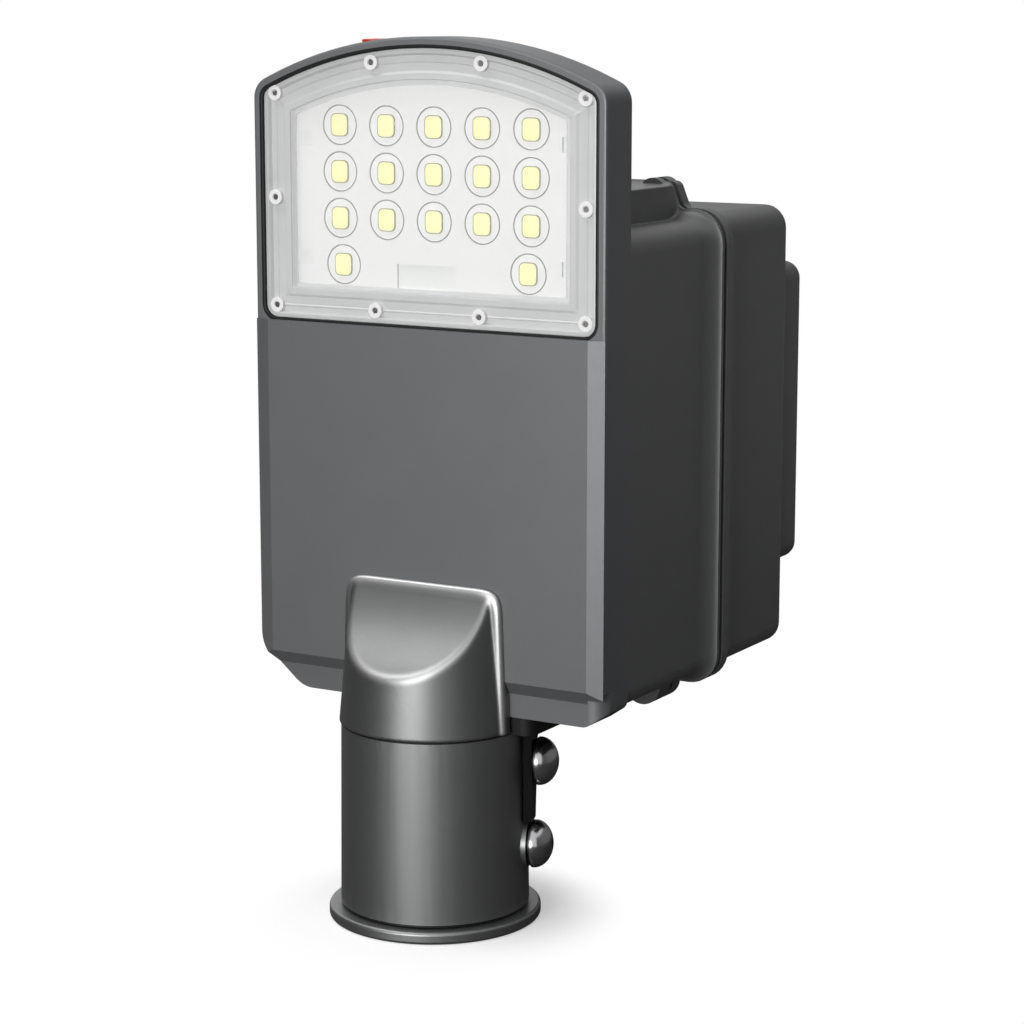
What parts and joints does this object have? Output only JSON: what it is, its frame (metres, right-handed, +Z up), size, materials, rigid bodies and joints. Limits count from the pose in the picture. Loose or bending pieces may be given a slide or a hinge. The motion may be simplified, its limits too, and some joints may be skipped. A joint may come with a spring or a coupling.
{
  "type": "solar street light",
  "caption": "Solar street light: an arched lamp head with seventeen small domed lenses behind its window, on a pole socket with two clamp screws, a battery case behind it and a push button on top.",
  "frame": {"origin": "centre of the pole socket's mouth, on the pole's axis", "axes": "+Z up along the pole, the lamp faces -Y, +X to the right seen from the front"},
  "size_m": [0.159, 0.2085, 0.331],
  "materials": {
    "head_paint": "dark grey satin powder coat on die-cast aluminium",
    "case_paint": "charcoal satin powder coat on die-cast aluminium",
    "socket_paint": "dark grey satin powder coat on cast metal",
    "bracket_black": "matte black",
    "lens_plastic": "translucent whitish grey frame round a clear window",
    "reflector_white": "matte white",
    "led_lens_clear": "clear moulded acrylic",
    "led_phosphor": "pale yellow phosphor",
    "board_white": "white solder resist",
    "board_green": "green solder resist",
    "component_grey": "moulded electronic components",
    "seal_rubber": "black",
    "white_screw": "white, satin",
    "screw_steel": "stainless steel",
    "clamp_metal": "polished dark gun-metal",
    "cell_wrap": "shrink wrap",
    "holder_plastic": "moulded",
    "nickel": "nickel sheet",
    "button_red": "red, glossy",
    "button_black": "moulded",
    "inlet_nylon": "moulded nylon"
  },
  "bodies": {
    "lamp": {"lamp_housing": "head_paint", "lens_cover": "lens_plastic", "lens_gasket": "seal_rubber", "lens_screws": "white_screw", "reflector": "reflector_white", "led_board": "board_white", "leds": "led_phosphor", "led_lenses": "led_lens_clear", "led_driver": "board_green", "driver_parts": "component_grey", "driver_screws": "screw_steel", "neck": "head_paint", "neck_screws": "screw_steel", "saddle": "bracket_black", "saddle_screws": "screw_steel", "neck_seal": "seal_rubber", "pole_socket": "socket_paint", "socket_screws": "screw_steel", "socket_bead": "seal_rubber", "socket_ring": "socket_paint", "battery_case_front": "case_paint", "case_gasket": "seal_rubber", "battery_case_rear": "case_paint", "ear_screws": "screw_steel", "case_mount_screws": "screw_steel", "controller_cover": "case_paint", "cover_gasket": "seal_rubber", "cover_screws": "screw_steel", "charge_controller": "board_green", "controller_parts": "component_grey", "controller_screws": "screw_steel", "battery_cells": "cell_wrap", "cell_holder_front": "holder_plastic", "cell_holder_rear": "holder_plastic", "nickel_strips": "nickel", "bms_board": "board_green", "bms_parts": "component_grey", "pack_strap": "screw_steel", "strap_screws": "screw_steel", "cable_grommet": "seal_rubber", "button_body": "button_black", "button_seal": "seal_rubber", "inlet_body": "inlet_nylon", "inlet_cap": "inlet_nylon", "inlet_insert": "seal_rubber", "inlet_nut": "inlet_nylon"},
    "upper_washer": {"clamp_washer_upper": "screw_steel"},
    "upper_screw": {"clamp_screw_upper": "clamp_metal"},
    "lower_washer": {"clamp_washer_lower": "screw_steel"},
    "lower_screw": {"clamp_screw_lower": "clamp_metal"},
    "button": {"button_cap": "button_red"}
  },
  "joints": [
    {"name": "upper_washer_slide", "type": "slide", "parent": "lamp", "child": "upper_washer", "axis": [0.9397, 0.342, 0], "range_m": [-0.00063, 0.00376]},
    {"name": "upper_screw_turn", "type": "hinge", "parent": "upper_washer", "child": "upper_screw", "pos_m": [0, 0, 0.0615], "axis": [0.9397, 0.342, 0], "range_deg": [-180, 1080]},
    {"name": "lower_washer_slide", "type": "slide", "parent": "lamp", "child": "lower_washer", "axis": [0.9397, 0.342, 0], "range_m": [-0.00063, 0.00376]},
    {"name": "lower_screw_turn", "type": "hinge", "parent": "lower_washer", "child": "lower_screw", "pos_m": [0, 0, 0.029], "axis": [0.9397, 0.342, 0], "range_deg": [-180, 1080]},
    {"name": "button_press", "type": "slide", "parent": "lamp", "child": "button", "axis": [0, 0, -1], "range_m": [0, 0.0015], "stiffness_N_per_m": 600, "springref_m": -0.002}
  ],
  "couplings": [
    {"joint": "upper_washer_slide", "follows": "upper_screw_turn", "m_per_rad": 0.00019894},
    {"joint": "lower_washer_slide", "follows": "lower_screw_turn", "m_per_rad": 0.00019894}
  ]
}
